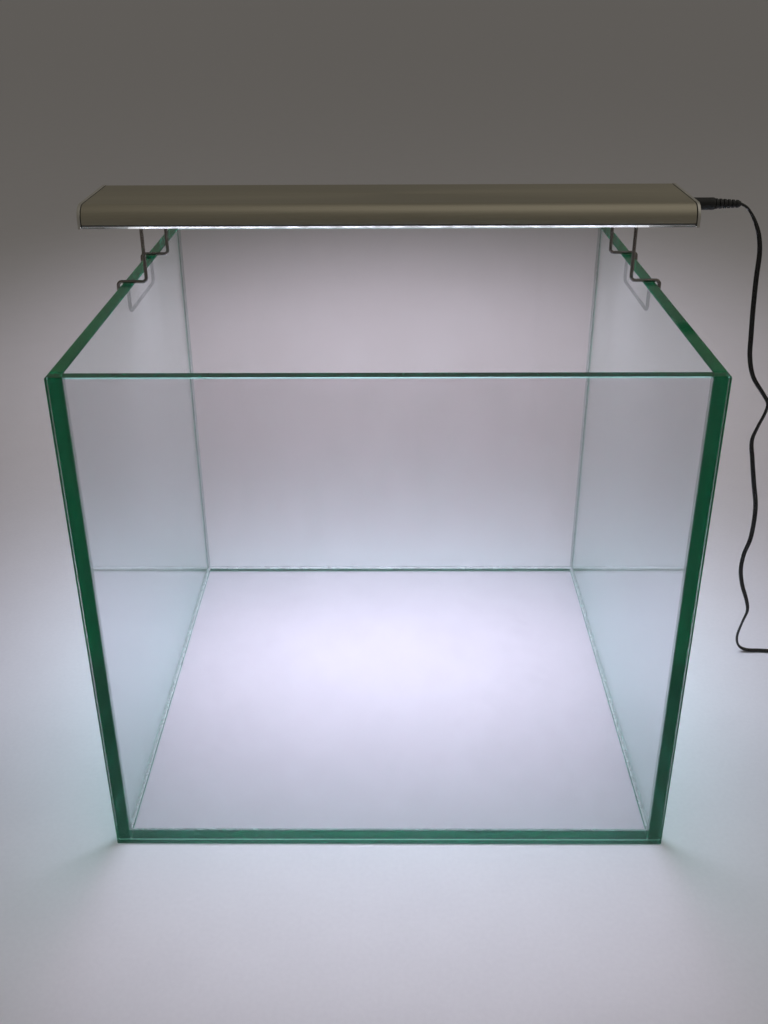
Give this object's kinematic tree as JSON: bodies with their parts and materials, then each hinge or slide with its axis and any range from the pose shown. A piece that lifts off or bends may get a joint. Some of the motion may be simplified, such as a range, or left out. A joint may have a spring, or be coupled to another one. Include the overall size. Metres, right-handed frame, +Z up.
{
  "type": "aquarium with light",
  "caption": "Empty rimless glass aquarium with a slim LED light bar that stands over the rim on bent wire brackets, with its plug, flat black cord and plug-in adapter.",
  "frame": {"origin": "centre of the tank's footprint, at the level of the surface it stands on", "axes": "+Z up, +X to the viewer's right along the light, +Y from the front pane to the back pane"},
  "size_m": [0.7277, 0.45, 0.4731],
  "materials": {
    "glass": "clear float glass, 10 mm, with dark green polished edges",
    "silicone": "clear silicone, slightly milky",
    "anodised": "satin anodised extrusion with fine lengthwise lines",
    "cap_metal": "satin machined plate with bright edges",
    "acrylic": "clear acrylic with polished edges",
    "gasket_rubber": "matt black rubber",
    "plated_metal": "bright nickel plate",
    "thermal_tape": "grey thermal tape",
    "white_board": "white solder mask",
    "led": "white packages with yellow phosphor windows, lit",
    "green_board": "green solder mask",
    "electronic_parts": "black component bodies",
    "black_plastic": "fine-textured moulded plastic",
    "red_lead": "insulated lead wire",
    "steel_wire": "bright drawn stainless wire",
    "black_rubber": "satin black moulded strain relief",
    "cord_pvc": "satin black PVC twin lead",
    "tie_fabric": "woven black hook-and-loop strap"
  },
  "bodies": {
    "tank": {"front_pane": "glass", "back_pane": "glass", "left_pane": "glass", "right_pane": "glass", "bottom_pane": "glass", "front_left_seam": "silicone", "front_right_seam": "silicone", "back_left_seam": "silicone", "back_right_seam": "silicone", "front_base_seam": "silicone", "back_base_seam": "silicone", "left_base_seam": "silicone", "right_base_seam": "silicone", "cord": "cord_pvc", "cord_coil": "cord_pvc", "cord_tie": "tie_fabric", "adapter_lead": "cord_pvc", "adapter_relief": "black_rubber", "adapter_cover": "black_plastic", "adapter_case": "black_plastic", "adapter_board": "green_board", "adapter_pins": "plated_metal"},
    "light": {"light_housing": "anodised", "clear_cover": "acrylic", "left_end_cap": "cap_metal", "right_end_cap": "cap_metal", "left_gasket": "gasket_rubber", "right_gasket": "gasket_rubber", "left_cap_screws": "plated_metal", "right_cap_screws": "plated_metal", "thermal_pad": "thermal_tape", "led_board": "white_board", "leds": "led", "driver_board": "green_board", "driver_parts": "electronic_parts", "power_jack": "black_plastic", "jack_pin": "plated_metal", "jack_leads": "red_lead", "board_leads": "red_lead", "plug_boot": "black_rubber"},
    "left_bracket": {"left_bracket": "steel_wire"},
    "right_bracket": {"right_bracket": "steel_wire"},
    "plug": {"plug_grip": "black_plastic", "plug_barrel": "plated_metal"}
  },
  "joints": [
    {"name": "light_lift", "type": "slide", "parent": "tank", "child": "light", "axis": [0, 0, 1], "range_m": [0, 0.12], "deforming": ["cord"]},
    {"name": "left_bracket_slide", "type": "slide", "parent": "light", "child": "left_bracket", "axis": [-1, 0, 0], "range_m": [0, 0.009]},
    {"name": "right_bracket_slide", "type": "slide", "parent": "light", "child": "right_bracket", "axis": [1, 0, 0], "range_m": [0, 0.009]},
    {"name": "plug_pull", "type": "slide", "parent": "light", "child": "plug", "axis": [1, 0, 0], "range_m": [0, 0.01], "deforming": ["plug_boot"]}
  ]
}
